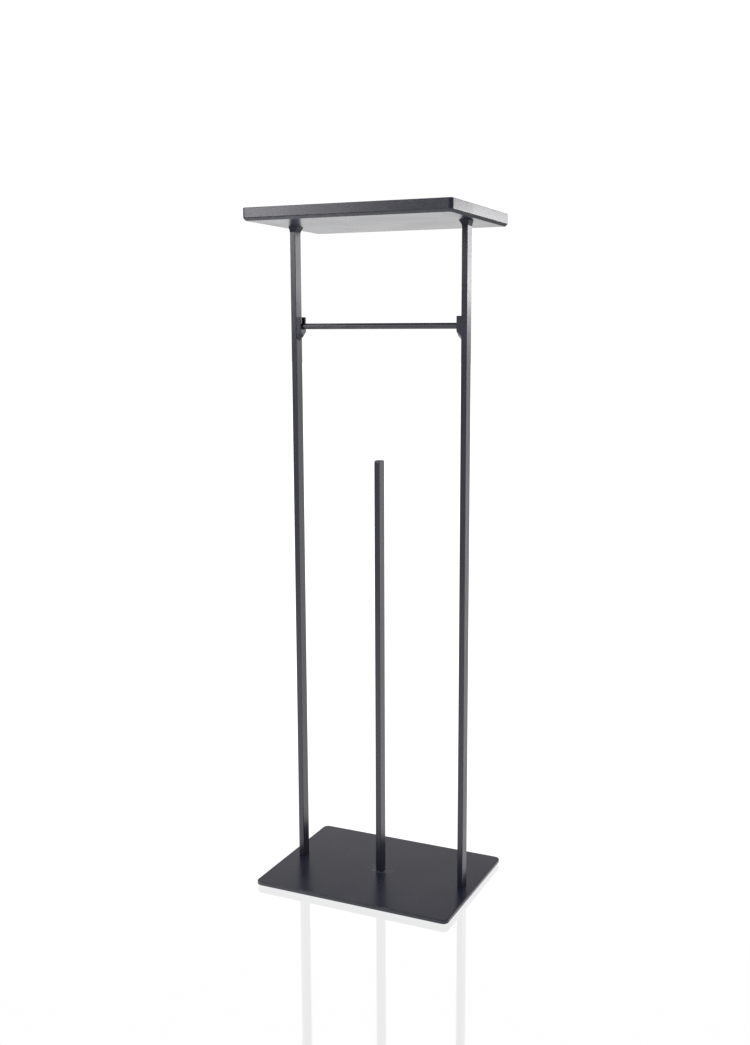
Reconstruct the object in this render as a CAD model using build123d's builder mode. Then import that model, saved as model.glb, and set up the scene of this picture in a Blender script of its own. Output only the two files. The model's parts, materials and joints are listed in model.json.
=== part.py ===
from build123d import *
import os

# Free-standing toilet roll stand in powder-coated steel, in millimetres.
# The origin is on the floor below the middle of the stand. +X runs to the right along
# the row of flat bars, -Y is the front and +Z is up.

# Overall sizes
overall_height = 700.0
upright_spacing = 189.0
upright_x = upright_spacing / 2

# Base plate, on four thin pads
pad_height = 2.0
pad_diameter = 12.0
pad_edge_radius = 0.4
pad_inset = 15.0
plate_width = 219.5
plate_depth = 158.5
plate_thickness = 4.5
plate_corner_radius = 6.0
plate_edge_radius = 1.2
plate_bottom = pad_height
plate_top = plate_bottom + plate_thickness

# Flat bar of the two uprights and the spindle: narrow side along X, wide side along Y
bar_width = 6.0
bar_depth = 12.0
bar_edge_radius = 0.5
foot_chamfer = 0.3
spindle_top = 452.0
spindle_end_radius = 2.5

# Countersunk screws that hold the flat bars from below
screw_diameter = 4.0
screw_hole_diameter = 4.5
screw_length = 14.0
screw_head_diameter = 8.0
screw_head_angle = 90.0
socket_across_flats = 2.5
socket_depth = 1.6
tapped_depth = 12.0

# Shelf tray, folded from sheet
tray_width = 220.0
tray_depth = 154.0
rim_height = 12.5
sheet_thickness = 1.5
tray_corner_radius = 3.5
tray_edge_slant = 2.5
slant_upper_radius = 1.6
slant_lower_radius = 0.9
rim_edge_radius = 0.5
tray_underside = overall_height - rim_height

# Weld fillet around the top end of each upright, largest on its inner side
weld_height = 5.2
weld_inner_leg = 3.6
weld_outer_leg = 1.6
weld_end_leg = 1.8
weld_toe = 0.15
weld_corner_radius = 1.5

# Roll bar, and the two cradles that it lies in
roll_bar_diameter = 6.0
roll_bar_z = 587.5
roll_bar_end_gap = 0.5
roll_bar_chamfer = 0.5
roll_bar_length = upright_spacing - bar_width - 2 * roll_bar_end_gap
cradle_thickness = 5.2
cradle_depth = 11.4
cradle_rise = 9.5
cradle_drop = 15.2
cradle_point_height = 5.0
cradle_edge_radius = 0.5
slot_gap = 0.3
slot_width = roll_bar_diameter + 2 * slot_gap

foot_positions = [-upright_x, 0.0, upright_x]

os.makedirs("parts", exist_ok=True)


def save(name, piece):
    """Label a finished piece and write it as the node of the same name."""
    piece.part.label = name
    export_step(piece.part, f"parts/{name}.step")


def from_below(x, z):
    """A place on an underside, for a hole that goes up from it."""
    return Location((x, 0, z), (180, 0, 0))


# Base plate: soft upper and lower edges, and a countersunk hole below each flat bar
with BuildPart() as base_plate:
    with BuildSketch(Plane.XY.offset(plate_bottom)):
        RectangleRounded(plate_width, plate_depth, plate_corner_radius)
    extrude(amount=plate_thickness)
    rims = base_plate.faces().filter_by(Axis.Z).edges()
    fillet(rims, plate_edge_radius)
    with Locations([from_below(x, plate_bottom) for x in foot_positions]):
        CounterSinkHole(
            radius=screw_hole_diameter / 2,
            counter_sink_radius=screw_head_diameter / 2,
            counter_sink_angle=screw_head_angle,
        )
save("base_plate", base_plate)


# Four round pads, one near each corner of the plate
def floor_pad(side_x, side_y):
    """A thin round pad stuck under the plate."""
    with BuildPart() as pad:
        with BuildSketch(Plane.XY):
            with Locations((
                side_x * (plate_width / 2 - pad_inset),
                side_y * (plate_depth / 2 - pad_inset),
            )):
                Circle(pad_diameter / 2)
        extrude(amount=pad_height)
        fillet(pad.faces().sort_by(Axis.Z)[0].edges(), pad_edge_radius)
    return pad


for row, side_y in (("front", -1), ("rear", 1)):
    for column, side_x in (("left", -1), ("right", 1)):
        save(f"{row}_{column}_pad", floor_pad(side_x, side_y))


# Flat bars: each is softened around its foot and tapped from below for its screw
def finish_foot(bar, centre_x):
    """Chamfer the foot of the flat bar being built and tap its screw hole."""
    chamfer(bar.faces().sort_by(Axis.Z)[0].edges(), foot_chamfer)
    with Locations(from_below(centre_x, plate_top)):
        Hole(screw_diameter / 2, depth=tapped_depth)


def upright(side):
    """A flat bar with soft long edges that runs from the plate to the tray."""
    with BuildPart() as bar:
        with BuildSketch(Plane.XY.offset(plate_top)):
            with Locations((side * upright_x, 0)):
                RectangleRounded(bar_width, bar_depth, bar_edge_radius)
        extrude(amount=tray_underside - plate_top)
        finish_foot(bar, side * upright_x)
    return bar


save("left_upright", upright(-1))
save("right_upright", upright(1))

# The spindle ends in the open: its end is rounded to front and rear, and soft all round
with BuildPart() as spare_roll_spindle:
    with BuildSketch(Plane.YZ.offset(-bar_width / 2)):
        with Locations((0, plate_top)):
            Rectangle(bar_depth, spindle_top - plate_top, align=(Align.CENTER, Align.MIN))
        fillet(vertices().group_by(Axis.Y)[-1], spindle_end_radius)
    extrude(amount=bar_width)
    outline = spare_roll_spindle.faces().filter_by(Axis.X).edges()
    fillet(outline - outline.group_by(Axis.Z)[0], bar_edge_radius)
    finish_foot(spare_roll_spindle, 0)
save("spare_roll_spindle", spare_roll_spindle)

# Screws: a cone head with a hexagon socket, flush with the plate's underside. At 90
# degrees the head is as tall as its radius is larger than the shank's.
with BuildPart() as base_screws:
    with Locations([(x, 0, plate_bottom) for x in foot_positions]):
        Cone(
            bottom_radius=screw_head_diameter / 2,
            top_radius=screw_diameter / 2,
            height=(screw_head_diameter - screw_diameter) / 2,
            align=(Align.CENTER, Align.CENTER, Align.MIN),
        )
        Cylinder(
            radius=screw_diameter / 2,
            height=screw_length,
            align=(Align.CENTER, Align.CENTER, Align.MIN),
        )
    with BuildSketch(Plane.XY.offset(plate_bottom)):
        with Locations([(x, 0) for x in foot_positions]):
            RegularPolygon(socket_across_flats / 2, 6, major_radius=False)
    extrude(amount=socket_depth, mode=Mode.SUBTRACT)
save("base_screws", base_screws)

# Shelf tray: a shallow open box of sheet with rounded corners and a slanted lower edge
with BuildPart() as shelf_tray:
    with BuildSketch(Plane.XY.offset(tray_underside)):
        RectangleRounded(tray_width, tray_depth, tray_corner_radius)
    extrude(amount=rim_height)
    chamfer(shelf_tray.faces().sort_by(Axis.Z)[0].edges(), tray_edge_slant)
    offset(amount=-sheet_thickness, openings=shelf_tray.faces().sort_by(Axis.Z)[-1])
    fillet(shelf_tray.edges().group_by(Axis.Z)[0], slant_lower_radius)
    slant_top = tray_underside + tray_edge_slant
    upper_rims = shelf_tray.edges().filter_by_position(Axis.Z, slant_top - 0.01, slant_top + 0.01)
    fillet(upper_rims, slant_upper_radius)
    fillet(shelf_tray.faces().sort_by(Axis.Z)[-1].edges(), rim_edge_radius)
save("shelf_tray", shelf_tray)


# Weld fillets between the uprights and the tray
def tray_weld(side):
    """A fillet that widens from the upright's outline up to the tray."""
    inward = (weld_inner_leg - weld_outer_leg) / 2
    with BuildPart() as weld:
        with BuildSketch(Plane.XY.offset(tray_underside - weld_height)):
            with Locations((side * upright_x, 0)):
                RectangleRounded(
                    bar_width + 2 * weld_toe,
                    bar_depth + 2 * weld_toe,
                    bar_edge_radius + weld_toe,
                )
        with BuildSketch(Plane.XY.offset(tray_underside)):
            with Locations((side * (upright_x - inward), 0)):
                RectangleRounded(
                    bar_width + weld_inner_leg + weld_outer_leg,
                    bar_depth + 2 * weld_end_leg,
                    weld_corner_radius,
                )
        loft()
        with BuildSketch(Plane.XY.offset(tray_underside - weld_height)):
            with Locations((side * upright_x, 0)):
                RectangleRounded(bar_width, bar_depth, bar_edge_radius)
        extrude(amount=weld_height, mode=Mode.SUBTRACT)
    return weld


save("left_tray_weld", tray_weld(-1))
save("right_tray_weld", tray_weld(1))


# Cradles: blocks on the inner faces of the uprights, open at the top
def cradle(side):
    """A block with a U slot, whose lower end runs down to a point on the upright.

    Its side profile ends below in a V. The profile is swept inwards and upwards at 45
    degrees, which slants the underside, and the block is then cut level at the top.
    """
    half_depth = cradle_depth / 2
    top_z = roll_bar_z + cradle_rise
    tip_z = roll_bar_z - cradle_drop
    shoulder_z = tip_z + cradle_point_height
    bar_face = Plane.YZ.offset(side * (upright_x - bar_width / 2))
    with BuildPart() as block:
        with BuildSketch(bar_face):
            Polygon(
                (-half_depth, top_z),
                (-half_depth, shoulder_z),
                (0, tip_z),
                (half_depth, shoulder_z),
                (half_depth, top_z),
                align=None,
            )
        extrude(amount=cradle_thickness * 2**0.5, dir=(-side, 0, 1))
        split(bisect_by=Plane.XY.offset(top_z), keep=Keep.BOTTOM)
        inner_face = block.faces().sort_by(Axis.X)[-1 if side < 0 else 0]
        fillet(inner_face.edges(), cradle_edge_radius)
        with BuildSketch(bar_face):
            with Locations((0, roll_bar_z)):
                Circle(slot_width / 2)
                Rectangle(slot_width, 2 * cradle_rise, align=(Align.CENTER, Align.MIN))
        extrude(amount=-side * cradle_thickness, mode=Mode.SUBTRACT)
    return block


save("left_cradle", cradle(-1))
save("right_cradle", cradle(1))

# Roll bar: a plain round rod with chamfered ends
with BuildPart() as roll_bar:
    with BuildSketch(Plane.YZ):
        with Locations((0, roll_bar_z)):
            Circle(roll_bar_diameter / 2)
    extrude(amount=roll_bar_length / 2, both=True)
    chamfer(roll_bar.faces().filter_by(Axis.X).edges(), roll_bar_chamfer)
save("roll_bar", roll_bar)
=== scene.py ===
import json
import math
import random

import bmesh
import bpy
from mathutils import Matrix, Vector

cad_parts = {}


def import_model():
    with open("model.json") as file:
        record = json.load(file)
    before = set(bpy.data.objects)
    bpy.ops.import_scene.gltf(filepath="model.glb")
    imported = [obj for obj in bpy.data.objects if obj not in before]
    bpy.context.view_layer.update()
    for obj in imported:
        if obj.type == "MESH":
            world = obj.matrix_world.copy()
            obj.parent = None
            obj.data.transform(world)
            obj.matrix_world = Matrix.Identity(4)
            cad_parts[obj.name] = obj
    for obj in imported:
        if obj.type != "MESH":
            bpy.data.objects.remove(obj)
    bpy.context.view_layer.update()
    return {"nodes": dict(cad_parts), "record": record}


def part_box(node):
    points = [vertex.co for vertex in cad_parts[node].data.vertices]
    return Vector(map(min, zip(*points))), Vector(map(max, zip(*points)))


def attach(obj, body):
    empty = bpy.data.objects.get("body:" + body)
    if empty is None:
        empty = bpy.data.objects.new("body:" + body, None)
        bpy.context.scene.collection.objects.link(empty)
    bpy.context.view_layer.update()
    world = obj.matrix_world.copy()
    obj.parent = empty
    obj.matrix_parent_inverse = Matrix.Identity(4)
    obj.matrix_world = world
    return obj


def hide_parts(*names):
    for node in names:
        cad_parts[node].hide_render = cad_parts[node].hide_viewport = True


# A free-standing toilet roll stand in black powder coat: materials, weld beads, camera
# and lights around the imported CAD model. Metres, +X right, -Y front, +Z up.

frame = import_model()

MM = 0.001
WHITE = (1.0, 1.0, 1.0, 1.0)

# Most values of a noise lie in this range. A range below is where a mark fades in.
NOISE_RANGE = (0.3, 0.7)

# Powder coat: linear colours, features to the metre, and how strongly each one shows
COAT_COLOUR = (0.0035, 0.0046, 0.0155)
COAT_LIGHT = (0.0065, 0.0080, 0.0190)
RUBBED_COLOUR = (0.060, 0.062, 0.068)
DUST_COLOUR = (0.15, 0.15, 0.155)
CLOUD_SCALE = 22.0
CLOUD_ROUGHNESS = 0.015
PEEL_SCALE = 900.0
GRAIN_SCALE = 4200.0
GRAIN_DEPTH = 0.001 * MM
PATCH_SCALE = 130.0
PATCH_RANGE = (0.46, 0.62)
RUBBED_POLISH = 0.06
SPECK_SCALE = 1500.0
SPECK_RANGE = (0.80, 0.84)
SPECK_STRENGTH = 0.5

# Handling marks on the plate, in an oval around the spindle's foot
HAZE_HALF_WIDTH = 17 * MM
HAZE_HALF_DEPTH = 11 * MM
HAZE_REACH = (1.3, 0.2)
HAZE_SCALE = 260.0
HAZE_RANGE = (0.42, 0.68)
HAZE_STRENGTH = 0.45
HAZE_ROUGHNESS = 0.14

# Scratches around the roll bar
SCRATCH_STRETCH = (2600.0, 60.0, 60.0)
SCRATCH_RANGE = (0.52, 0.72)
SCRATCH_AREA_SCALE = 35.0
SCRATCH_AREA_RANGE = (0.35, 0.65)
SCRATCH_STRENGTH = 0.20
SCRATCH_ROUGHNESS = 0.06

# Zinc of the screws and foam rubber of the pads
ZINC_DARK = (0.42, 0.43, 0.44)
ZINC_LIGHT = (0.60, 0.60, 0.58)
ZINC_CLOUD_SCALE = 400.0
TURNING_STRETCH = (600.0, 600.0, 9000.0)
TURNING_DEPTH = 0.006 * MM
RUBBER_DARK = (0.006, 0.006, 0.007)
RUBBER_LIGHT = (0.028, 0.028, 0.030)
PORE_SCALE = 2600.0
PORE_RANGE = (0.35, 0.6)
PORE_DEPTH = 0.06 * MM

# Studio. A glow of 1 is white, and the fade and the size are in metres. The far floor's two
# glows are those away from the wall and towards it.
FLOOR_GLOW = 0.79
FAR_FLOOR_GLOW = (1.02, 1.35)
FLOOR_SIZE = 60.0
FLOOR_MIRROR = 0.56
FLOOR_ROUGHNESS = 0.04
MIRROR_FADE = (0.90, 1.40)
VIEW_GLOW = 1.04
CARD_GLOW = 0.35
SCREEN_GLOW = 1.9
CEILING_GLOW = 0.6
STUDIO_COLOUR = (1.0, 0.985, 0.99)
WALL_SIDE = (-0.43, 0.90)

# Camera, with its place in metres, its angles in radians and its lens in millimetres
CAMERA_PLACE = (0.5112, -1.0719, 0.5707)
CAMERA_AZIMUTH = 0.4086
CAMERA_ELEVATION = 0.1601
CAMERA_ROLL = 0.0021
LENS = 39.97
SHIFT_X = -0.0442
SHIFT_Y = 0.0076


# ---------------------------------------------------------------- node helpers


class Tree:
    """A short way to add and join the nodes of one material or world."""

    def __init__(self, owner):
        owner.use_nodes = True
        self.owner = owner
        self.nodes = owner.node_tree.nodes
        self.links = owner.node_tree.links
        self.nodes.clear()
        self.coordinates = self.add("ShaderNodeTexCoord").outputs
        self.place = self.coordinates["Object"]

    def add(self, kind, inputs=None, **settings):
        """Add a node. An input is a plain value, or the socket that feeds it."""
        node = self.nodes.new(kind)
        for name, value in settings.items():
            setattr(node, name, value)
        for name, value in (inputs or {}).items():
            if isinstance(value, bpy.types.NodeSocket):
                self.links.new(value, node.inputs[name])
            else:
                node.inputs[name].default_value = value
        return node

    def noise(self, scale, detail=2.0, roughness=0.5, stretch=None):
        """Smooth noise from 0 to 1, with scale features to the metre."""
        place = self.place
        if stretch:
            place = self.add("ShaderNodeMapping", {"Vector": place, "Scale": stretch}).outputs[0]
        inputs = {"Vector": place, "Scale": scale, "Detail": detail, "Roughness": roughness}
        return self.add("ShaderNodeTexNoise", inputs).outputs[0]

    def ramp(self, value, start, end, low=0.0, high=1.0):
        """Turn start..end into low..high, smoothly, and hold it beyond them."""
        inputs = {
            "Value": value,
            "From Min": start,
            "From Max": end,
            "To Min": low,
            "To Max": high,
        }
        node = self.add("ShaderNodeMapRange", inputs, interpolation_type="SMOOTHSTEP")
        return node.outputs[0]

    def maths(self, operation, first, second=0.0):
        """The result of a Math node."""
        node = self.add("ShaderNodeMath", operation=operation)
        for socket, value in zip(node.inputs, (first, second)):
            if isinstance(value, bpy.types.NodeSocket):
                self.links.new(value, socket)
            else:
                socket.default_value = value
        return node.outputs[0]

    def mix(self, share, first, second):
        """The first colour turning into the second as share goes from 0 to 1."""
        colours = []
        for colour in (first, second):
            colours.append(colour if isinstance(colour, bpy.types.NodeSocket) else (*colour, 1.0))
        inputs = {"Fac": share, "Color1": colours[0], "Color2": colours[1]}
        return self.add("ShaderNodeMixRGB", inputs).outputs[0]

    def bump(self, height, depth, normal=None):
        """A bump of that depth in metres."""
        inputs = {"Height": height, "Distance": depth, "Strength": 1.0}
        if normal:
            inputs["Normal"] = normal
        return self.add("ShaderNodeBump", inputs).outputs[0]

    def towards_wall(self, vector):
        """How far a place or direction lies towards the wall behind the stand."""
        node = self.add("ShaderNodeVectorMath", operation="DOT_PRODUCT")
        self.links.new(vector, node.inputs[0])
        node.inputs[1].default_value = (*WALL_SIDE, 0.0)
        return node.outputs["Value"]

    def edges(self):
        """1 on rounded and slanted edges, 0 on the faces that lie square to the axes."""
        parts = self.add("ShaderNodeSeparateXYZ", {"Vector": self.coordinates["Normal"]})
        sizes = [self.maths("ABSOLUTE", part) for part in parts.outputs]
        largest = self.maths("MAXIMUM", self.maths("MAXIMUM", sizes[0], sizes[1]), sizes[2])
        return self.ramp(largest, 0.985, 0.85)

    def finish(self, colour, roughness, normal, **fixed):
        """Join everything to the surface shader. The fixed values are the same all over."""
        inputs = {"Base Color": colour, "Roughness": roughness, "Normal": normal}
        shader = self.add("ShaderNodeBsdfPrincipled", inputs)
        for name, value in fixed.items():
            shader.inputs[name.replace("_", " ")].default_value = value
        self.add("ShaderNodeOutputMaterial", {"Surface": shader.outputs[0]})
        return self.owner


# ---------------------------------------------------------------- materials


def powder_coat(name, gloss, index, wear, peel_depth, extra=None):
    """Black powder coat: orange peel, fine grain, cloudy colour, rubbed edges and dust.

    gloss is the coat's middle roughness and index its refractive index. wear is how far
    the edges are rubbed, from 0 to 1. extra(tree, colour, roughness) may add what only one
    part has.
    """
    tree = Tree(bpy.data.materials.new(name))
    clouds = tree.noise(CLOUD_SCALE, detail=4.0)
    peel = tree.noise(PEEL_SCALE, detail=1.0)
    grain = tree.noise(GRAIN_SCALE, detail=2.0)
    colour = tree.mix(tree.ramp(clouds, *NOISE_RANGE), COAT_COLOUR, COAT_LIGHT)
    roughness = tree.ramp(
        clouds, *NOISE_RANGE, low=gloss - CLOUD_ROUGHNESS, high=gloss + CLOUD_ROUGHNESS
    )

    patches = tree.ramp(tree.noise(PATCH_SCALE, detail=3.0), *PATCH_RANGE)
    rubbed = tree.maths("MULTIPLY", tree.edges(), patches)
    colour = tree.mix(tree.maths("MULTIPLY", rubbed, wear), colour, RUBBED_COLOUR)
    polish = tree.maths("MULTIPLY", rubbed, RUBBED_POLISH)
    roughness = tree.maths("SUBTRACT", roughness, polish)

    specks = tree.ramp(tree.noise(SPECK_SCALE, detail=0.0), *SPECK_RANGE)
    colour = tree.mix(tree.maths("MULTIPLY", specks, SPECK_STRENGTH), colour, DUST_COLOUR)
    if extra:
        colour, roughness = extra(tree, colour, roughness)

    normal = tree.bump(peel, peel_depth)
    normal = tree.bump(grain, GRAIN_DEPTH, normal)
    return tree.finish(colour, roughness, normal, IOR=index)


def spindle_haze(tree, colour, roughness):
    """Faint handling marks on the plate, around the spindle's foot."""
    parts = tree.add("ShaderNodeSeparateXYZ", {"Vector": tree.place})
    across = tree.maths("DIVIDE", parts.outputs["X"], HAZE_HALF_WIDTH)
    along = tree.maths("DIVIDE", parts.outputs["Y"], HAZE_HALF_DEPTH)
    across_squared = tree.maths("MULTIPLY", across, across)
    along_squared = tree.maths("MULTIPLY", along, along)
    reach = tree.maths("ADD", across_squared, along_squared)
    near = tree.ramp(reach, *HAZE_REACH)
    broken = tree.ramp(tree.noise(HAZE_SCALE, detail=5.0, roughness=0.65), *HAZE_RANGE)
    haze = tree.maths("MULTIPLY", near, broken)
    colour = tree.mix(tree.maths("MULTIPLY", haze, HAZE_STRENGTH), colour, DUST_COLOUR)
    return colour, tree.maths("ADD", roughness, tree.maths("MULTIPLY", haze, HAZE_ROUGHNESS))


def roll_rub(tree, colour, roughness):
    """Fine scratches around the roll bar, where the roll's core turns on it."""
    rings = tree.noise(1.0, detail=3.0, stretch=SCRATCH_STRETCH)
    scratches = tree.ramp(rings, *SCRATCH_RANGE)
    areas = tree.ramp(tree.noise(SCRATCH_AREA_SCALE, detail=2.0), *SCRATCH_AREA_RANGE)
    worn = tree.maths("MULTIPLY", scratches, areas)
    colour = tree.mix(tree.maths("MULTIPLY", worn, SCRATCH_STRENGTH), colour, RUBBED_COLOUR)
    return colour, tree.maths("ADD", roughness, tree.maths("MULTIPLY", worn, SCRATCH_ROUGHNESS))


def zinc(name):
    """Bright zinc on turned steel, seen only on the screw heads below."""
    tree = Tree(bpy.data.materials.new(name))
    clouds = tree.noise(ZINC_CLOUD_SCALE, detail=4.0)
    marks = tree.noise(1.0, detail=2.0, stretch=TURNING_STRETCH)
    colour = tree.mix(tree.ramp(clouds, *NOISE_RANGE), ZINC_DARK, ZINC_LIGHT)
    roughness = tree.ramp(marks, *NOISE_RANGE, low=0.28, high=0.42)
    normal = tree.bump(marks, TURNING_DEPTH)
    return tree.finish(colour, roughness, normal, Metallic=1.0)


def foam_rubber(name):
    """Matt black foam rubber with open pores, for the pads."""
    tree = Tree(bpy.data.materials.new(name))
    pores = tree.noise(PORE_SCALE, detail=4.0, roughness=0.7)
    colour = tree.mix(tree.ramp(pores, *PORE_RANGE), RUBBER_DARK, RUBBER_LIGHT)
    roughness = tree.ramp(pores, *NOISE_RANGE, low=0.95, high=0.80)
    return tree.finish(colour, roughness, tree.bump(pores, PORE_DEPTH), IOR=1.45)


plate_coat = powder_coat(
    "plate_coat_detailed",
    gloss=0.26,
    index=1.44,
    wear=0.35,
    peel_depth=0.003 * MM,
    extra=spindle_haze,
)
bar_coat = powder_coat(
    "bar_coat_detailed", gloss=0.30, index=1.50, wear=0.35, peel_depth=0.003 * MM
)
weld_coat = powder_coat(
    "weld_coat_detailed", gloss=0.50, index=1.35, wear=0.0, peel_depth=0.02 * MM
)
tray_coat = powder_coat(
    "tray_coat_detailed", gloss=0.28, index=1.50, wear=0.12, peel_depth=0.0015 * MM
)
roll_bar_coat = powder_coat(
    "roll_bar_coat_detailed",
    gloss=0.34,
    index=1.56,
    wear=0.2,
    peel_depth=0.002 * MM,
    extra=roll_rub,
)
screw_zinc = zinc("screw_zinc_detailed")
pad_rubber = foam_rubber("pad_rubber_detailed")

finishes = {
    "plate_coat": plate_coat,
    "bar_coat": bar_coat,
    "tray_coat": tray_coat,
    "roll_bar_coat": roll_bar_coat,
    "screw_zinc": screw_zinc,
    "pad_rubber": pad_rubber,
}

for row in frame["record"]["subparts"]:
    node = frame["nodes"][row["node"]]
    for slot in node.material_slots:
        slot.material = finishes[row["material_slot"]]


# ---------------------------------------------------------------- weld beads

BEAD_STEPS = 240
BEAD_ROWS = 9
BEAD_CORNER = 0.5 * MM
CORNER_STEPS = 8
BEAD_TOE = 0.15 * MM
THINNEST_BEAD = 0.03 * MM
HOLLOW_POWER = 1.2
LEG_SHARE = 0.94
LEG_WAVER = 0.03
RIPPLE_COUNT = 26
RIPPLE_BOW = 2.4
RIPPLE_DEPTH = 0.16 * MM
FULL_RIPPLE_LEG = 2.0 * MM
SHARP_ANGLE = math.radians(50)


def rounded_outline(low, high, radius):
    """Corner points of a rounded rectangle, each with its outward direction."""
    half = (high - low) / 2
    middle = (high + low) / 2
    corners = ((1, 1, 0.0), (-1, 1, 0.5), (-1, -1, 1.0), (1, -1, 1.5))
    outline = []
    for side_x, side_y, start in corners:
        centre = middle + Vector((side_x * (half.x - radius), side_y * (half.y - radius)))
        for step in range(CORNER_STEPS + 1):
            angle = math.pi * (start + 0.5 * step / CORNER_STEPS)
            outward = Vector((math.cos(angle), math.sin(angle)))
            outline.append((centre + radius * outward, outward))
    return outline


def walk_outline(outline, steps):
    """Evenly spaced points around an outline, each with its outward direction."""
    lengths = []
    for index, (point, _) in enumerate(outline):
        lengths.append((outline[(index + 1) % len(outline)][0] - point).length)
    spacing = sum(lengths) / steps
    walked = []
    reached = 0.0
    for index, (point, outward) in enumerate(outline):
        next_point, next_outward = outline[(index + 1) % len(outline)]
        while len(walked) < steps and len(walked) * spacing <= reached + lengths[index]:
            share = (len(walked) * spacing - reached) / lengths[index]
            direction = outward.lerp(next_outward, share).normalized()
            walked.append((point.lerp(next_point, share), direction))
        reached += lengths[index]
    return walked


def bead_reach(rise, leg, phase):
    """How far the bead stands out from the bar, at a rise from 0 at its toe to 1."""
    bow = phase + RIPPLE_BOW * (2.0 * rise - 1.0) ** 2
    ripple = RIPPLE_DEPTH * 0.5 * (math.sin(bow) - 1.0) * math.sin(math.pi * rise)
    slope = BEAD_TOE + (leg - BEAD_TOE) * rise**HOLLOW_POWER
    return max(slope + ripple * min(1.0, leg / FULL_RIPPLE_LEG), THINNEST_BEAD)


def join_rings(shape, rings):
    """Close the skin between neighbouring rings, all the way round."""
    for index, ring in enumerate(rings):
        following = rings[(index + 1) % len(rings)]
        for corner in range(len(ring)):
            after = (corner + 1) % len(ring)
            shape.faces.new((ring[corner], following[corner], following[after], ring[after]))
    bmesh.ops.recalc_face_normals(shape, faces=shape.faces)
    for face in shape.faces:
        face.smooth = True


def weld_bead(name, node, bar_node, ripple_seed):
    """A painted fillet weld: a hollow slope with the bow-shaped ripples of its passes."""
    low, high = (Vector(corner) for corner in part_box(node))
    bar_low, bar_high = (Vector(corner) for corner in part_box(bar_node))
    leg_left = bar_low.x - low.x
    leg_right = high.x - bar_high.x
    leg_end = high.y - bar_high.y
    phases = random.Random(ripple_seed)
    waver = [phases.uniform(0.0, 2.0 * math.pi) for _ in range(3)]
    outline = rounded_outline(bar_low.xy, bar_high.xy, BEAD_CORNER)
    shape = bmesh.new()
    rings = []
    for index, (point, outward) in enumerate(walk_outline(outline, BEAD_STEPS)):
        turn = 2.0 * math.pi * index / BEAD_STEPS
        leg_x = leg_right if outward.x > 0 else leg_left
        leg = math.hypot(leg_x * outward.x, leg_end * outward.y)
        slow = LEG_WAVER * math.sin(3.0 * turn + waver[0])
        fast = LEG_WAVER * math.sin(5.0 * turn + waver[1])
        leg *= LEG_SHARE - slow - fast
        ring = [shape.verts.new((*point, high.z)), shape.verts.new((*point, low.z))]
        for row in range(BEAD_ROWS + 1):
            rise = row / BEAD_ROWS
            place = point + bead_reach(rise, leg, RIPPLE_COUNT * turn + waver[2]) * outward
            ring.append(shape.verts.new((*place, low.z + rise * (high.z - low.z))))
        rings.append(ring)
    join_rings(shape, rings)
    mesh = bpy.data.meshes.new(name)
    shape.to_mesh(mesh)
    shape.free()
    mesh.set_sharp_from_angle(angle=SHARP_ANGLE)
    mesh.materials.append(weld_coat)
    bead = bpy.data.objects.new(name, mesh)
    bpy.context.scene.collection.objects.link(bead)
    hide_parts(node)
    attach(bead, "stand")


weld_bead("left_weld_bead", "left_tray_weld", "left_upright", ripple_seed=3)
weld_bead("right_weld_bead", "right_tray_weld", "right_upright", ripple_seed=8)


# ---------------------------------------------------------------- floor and card


def floor_material():
    """An evenly lit white floor that reflects the stand clearly. Far off it is plain white."""
    tree = Tree(bpy.data.materials.new("floor_white"))
    radius = tree.add("ShaderNodeVectorMath", {"Vector": tree.place}, operation="LENGTH")
    radius = radius.outputs["Value"]
    far_glow = tree.ramp(tree.towards_wall(tree.place), -0.5, 0.8, *FAR_FLOOR_GLOW)
    far_share = tree.ramp(radius, *MIRROR_FADE)
    level = tree.add("ShaderNodeMix", {"Factor": far_share, "A": FLOOR_GLOW, "B": far_glow})
    glow = tree.add("ShaderNodeEmission", {"Color": WHITE, "Strength": level.outputs[0]})
    colour = tree.ramp(radius, *MIRROR_FADE, low=FLOOR_MIRROR, high=0.0)
    mirror = tree.add("ShaderNodeBsdfGlossy", {"Color": colour, "Roughness": FLOOR_ROUGHNESS})
    both = tree.add("ShaderNodeAddShader")
    tree.links.new(glow.outputs[0], both.inputs[0])
    tree.links.new(mirror.outputs[0], both.inputs[1])
    tree.add("ShaderNodeOutputMaterial", {"Surface": both.outputs[0]})
    return tree.owner


def card_material():
    """Dark from above, and clear from below."""
    tree = Tree(bpy.data.materials.new("card_dark"))
    dark = tree.add("ShaderNodeEmission", {"Color": WHITE, "Strength": CARD_GLOW})
    clear = tree.add("ShaderNodeBsdfTransparent")
    below = tree.add("ShaderNodeNewGeometry").outputs["Backfacing"]
    mixed = tree.add("ShaderNodeMixShader", {"Fac": below})
    tree.links.new(dark.outputs[0], mixed.inputs[1])
    tree.links.new(clear.outputs[0], mixed.inputs[2])
    tree.add("ShaderNodeOutputMaterial", {"Surface": mixed.outputs[0]})
    return tree.owner


def level_sheet(name, centre, width, depth, material):
    """A flat level sheet that belongs to the studio: a one metre grid, scaled and placed."""
    mesh = bpy.data.meshes.new(name)
    shape = bmesh.new()
    bmesh.ops.create_grid(shape, x_segments=8, y_segments=8, size=0.5)
    bmesh.ops.scale(shape, vec=(width, depth, 1.0), verts=shape.verts)
    bmesh.ops.translate(shape, vec=centre, verts=shape.verts)
    shape.to_mesh(mesh)
    shape.free()
    obj = bpy.data.objects.new(name, mesh)
    bpy.context.scene.collection.objects.link(obj)
    mesh.materials.append(material)
    return obj


level_sheet("studio_floor", (0.0, 0.0, 0.0), FLOOR_SIZE, FLOOR_SIZE, floor_material())

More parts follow.
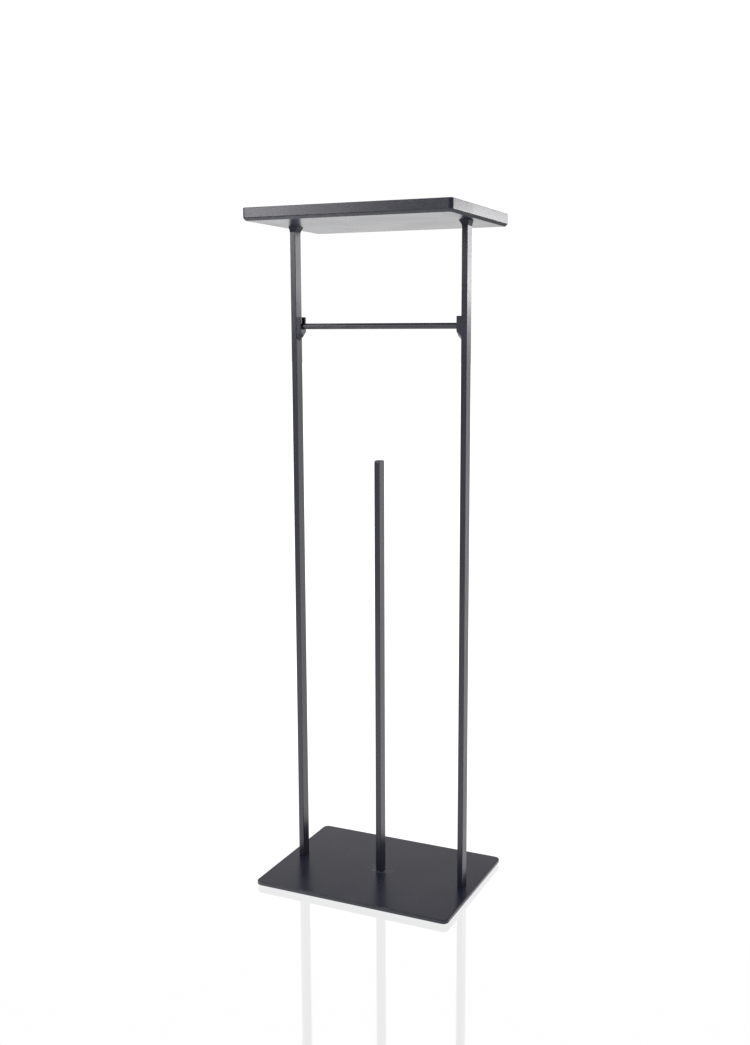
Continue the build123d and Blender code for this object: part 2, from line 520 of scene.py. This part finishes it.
# A dark card behind the stand and below the tray, out of view: the tray's slanted right
# edge and the right end of its underside mirror it
card = level_sheet(
    "studio_card", centre=(0.17, 0.31, 0.59), width=0.28, depth=0.44, material=card_material()
)
card.visible_camera = False
card.visible_diffuse = False
card.visible_shadow = False


# ---------------------------------------------------------------- world, lights and camera

# In the world, height is the upward part of a direction: 0 is level and 1 is straight up.
# Facing is the part of it that lies towards the wall.


def wall_glow(tree, height):
    """A white wall with a darker band across it."""
    lower = tree.ramp(height, 0.30, 0.49, low=1.04, high=0.37)
    upper = tree.ramp(height, 0.54, 0.68, low=0.0, high=0.75)
    return tree.maths("ADD", lower, upper)


def room_glow(tree, facing, height):
    """The rest of the room: dark below, a light band above it, and duller near the top."""
    low_side = tree.ramp(facing, -0.30, 0.50, low=0.05, high=0.75)
    low_end = tree.ramp(height, 0.06, 0.15, low=1.0, high=0.3)
    low = tree.maths("MULTIPLY", low_side, low_end)
    high_side = tree.ramp(facing, -0.30, 0.50, low=1.60, high=0.85)
    high_start = tree.ramp(height, 0.16, 0.32)
    high_end = tree.ramp(height, 0.40, 0.54, low=1.0, high=0.30)
    high = tree.maths("MULTIPLY", tree.maths("MULTIPLY", high_side, high_start), high_end)
    return tree.maths("ADD", low, high)


def screen_glow(tree, across, along, height):
    """A broad white screen at the left of the camera."""
    area = tree.maths("MULTIPLY", tree.ramp(across, -0.41, -0.48), tree.ramp(along, 0.35, 0.05))
    return tree.maths("MULTIPLY", area, tree.ramp(height, 0.10, 0.25, low=0.0, high=SCREEN_GLOW))


def world():
    """The studio as the glossy coat sees it, and plain white as the camera sees it."""
    made = bpy.data.worlds.new("studio")
    bpy.context.scene.world = made
    tree = Tree(made)
    direction = tree.coordinates["Generated"]
    across, along, height = tree.add("ShaderNodeSeparateXYZ", {"Vector": direction}).outputs
    facing = tree.towards_wall(direction)
    wall_share = tree.ramp(facing, 0.60, 0.80)
    sides = {"Factor": wall_share, "A": room_glow(tree, facing, height), "B": wall_glow(tree, height)}
    level = tree.add("ShaderNodeMix", sides).outputs[0]
    screen = screen_glow(tree, across, along, height)
    ceiling = tree.ramp(height, 0.72, 0.92, low=0.0, high=CEILING_GLOW)
    level = tree.maths("ADD", level, tree.maths("ADD", screen, ceiling))
    in_view = tree.add("ShaderNodeLightPath").outputs["Is Camera Ray"]
    level = tree.maths("MAXIMUM", level, tree.maths("MULTIPLY", in_view, VIEW_GLOW))
    light = {"Color": (*STUDIO_COLOUR, 1.0), "Strength": level}
    background = tree.add("ShaderNodeBackground", light)
    tree.add("ShaderNodeOutputWorld", {"Surface": background.outputs[0]})


world()


def softbox(name, centre, target, size, power, spread):
    """A rectangular light that faces the target, out of view.

    size is its width and height in metres, power is in watts, and spread is the full angle
    in degrees that its grid lets through.
    """
    data = bpy.data.lights.new(name, "AREA")
    data.shape = "RECTANGLE"
    data.size, data.size_y = size
    data.energy = power
    data.color = STUDIO_COLOUR
    data.spread = math.radians(spread)
    obj = bpy.data.objects.new(name, data)
    bpy.context.scene.collection.objects.link(obj)
    obj.location = centre
    obj.rotation_euler = (Vector(centre) - Vector(target)).to_track_quat("Z", "Y").to_euler()
    obj.visible_camera = False


softbox(
    "behind_right",
    centre=(0.73, 1.50, 0.775),
    target=(0.20, 0.0, 0.70),
    size=(0.30, 0.24),
    power=0.150,
    spread=45,
)
softbox(
    "front_left",
    centre=(-1.15, -1.34, 0.90),
    target=(-0.32, 0.0, 0.80),
    size=(0.74, 0.22),
    power=0.56,
    spread=50,
)
softbox(
    "front_fill",
    centre=(-0.40, -1.35, 1.00),
    target=(0.0, 0.0, 0.75),
    size=(0.90, 0.64),
    power=1.1,
    spread=180,
)

camera_data = bpy.data.cameras.new("camera")
camera = bpy.data.objects.new("camera", camera_data)
bpy.context.scene.collection.objects.link(camera)
camera_data.lens = LENS
camera_data.shift_x = SHIFT_X
camera_data.shift_y = SHIFT_Y
camera.matrix_world = (
    Matrix.Translation(CAMERA_PLACE)
    @ Matrix.Rotation(CAMERA_AZIMUTH, 4, "Z")
    @ Matrix.Rotation(math.pi / 2 - CAMERA_ELEVATION, 4, "X")
    @ Matrix.Rotation(CAMERA_ROLL, 4, "Z")
)
bpy.context.scene.camera = camera
bpy.context.scene.view_settings.view_transform = "Standard"
